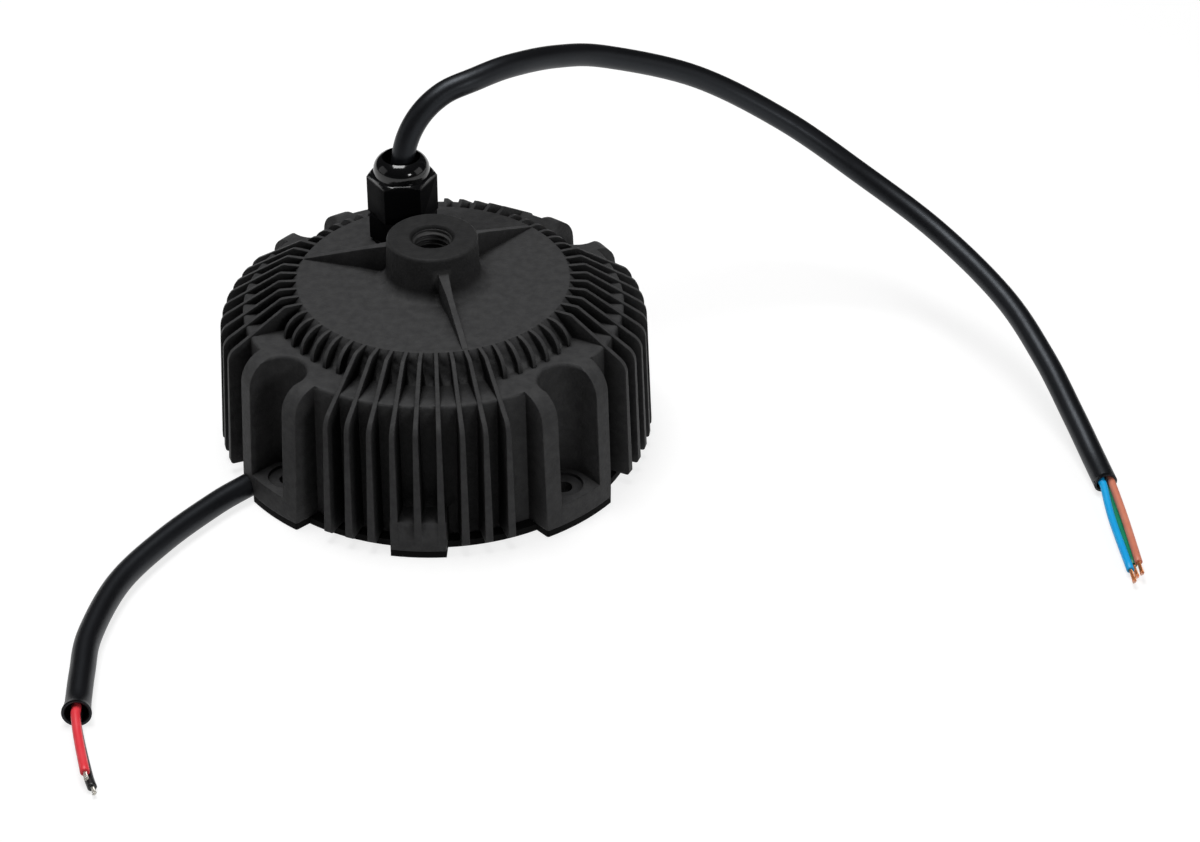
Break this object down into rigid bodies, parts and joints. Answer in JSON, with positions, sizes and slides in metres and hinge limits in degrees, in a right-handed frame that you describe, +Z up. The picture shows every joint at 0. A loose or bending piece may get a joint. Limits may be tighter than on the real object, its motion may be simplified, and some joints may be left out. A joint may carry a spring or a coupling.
{
  "type": "round led driver",
  "caption": "Round finned die-cast LED driver with a threaded hanging boss, screw ears, a cable gland with a mains cable and an output cable.",
  "frame": {"origin": "middle of the housing on the resting plane, the underside of the base gasket", "axes": "+Z up along the hanging boss, the front tab towards -Y, the mains cable leaning towards +X"},
  "size_m": [0.3168, 0.2772, 0.111],
  "materials": {
    "cast_housing": "die cast, coated dark grey, matte with a fine grain",
    "black_rubber": "matte",
    "cover_plate": "plain sheet, satin",
    "screw_steel": "zinc plated",
    "insulating_film": "thin film",
    "board_laminate": "green solder mask",
    "brown_case": "moulded",
    "ferrite": "fired, matte",
    "winding_wire": "enamelled wire",
    "yellow_case": "moulded",
    "black_epoxy": "moulded",
    "capacitor_sleeve": "shrunk sleeve",
    "amber_tape": "wound tape",
    "black_nylon": "moulded, semi-gloss",
    "cable_jacket": "extruded, soft sheen",
    "brown_insulation": "extruded",
    "blue_insulation": "extruded",
    "green_insulation": "extruded",
    "bare_copper": "bare stranded copper",
    "red_insulation": "extruded",
    "black_insulation": "extruded",
    "tinned_copper": "tinned stranded copper"
  },
  "bodies": {
    "root": {"housing": "cast_housing", "base_gasket": "black_rubber", "base_cover": "cover_plate", "cover_screws": "screw_steel", "insulating_sheet": "insulating_film", "circuit_board": "board_laminate", "board_screws": "screw_steel", "fuse": "brown_case", "input_choke_core": "ferrite", "input_choke_windings": "winding_wire", "film_capacitors": "yellow_case", "bridge_rectifier": "black_epoxy", "boost_inductor": "winding_wire", "bulk_capacitors": "capacitor_sleeve", "switch_transistors": "black_epoxy", "transformer_core": "ferrite", "transformer_bobbin": "amber_tape", "output_diodes": "black_epoxy", "output_capacitors": "capacitor_sleeve", "control_chip": "black_epoxy", "gland_washer": "black_rubber", "gland_body": "black_nylon", "gland_seal": "black_rubber", "gland_nut": "black_nylon", "input_cable": "cable_jacket", "live_wire": "brown_insulation", "neutral_wire": "blue_insulation", "earth_wire": "green_insulation", "input_strands": "bare_copper", "output_bush": "black_rubber", "output_cable": "cable_jacket", "positive_wire": "red_insulation", "negative_wire": "black_insulation", "output_strands": "tinned_copper"}
  },
  "joints": []
}
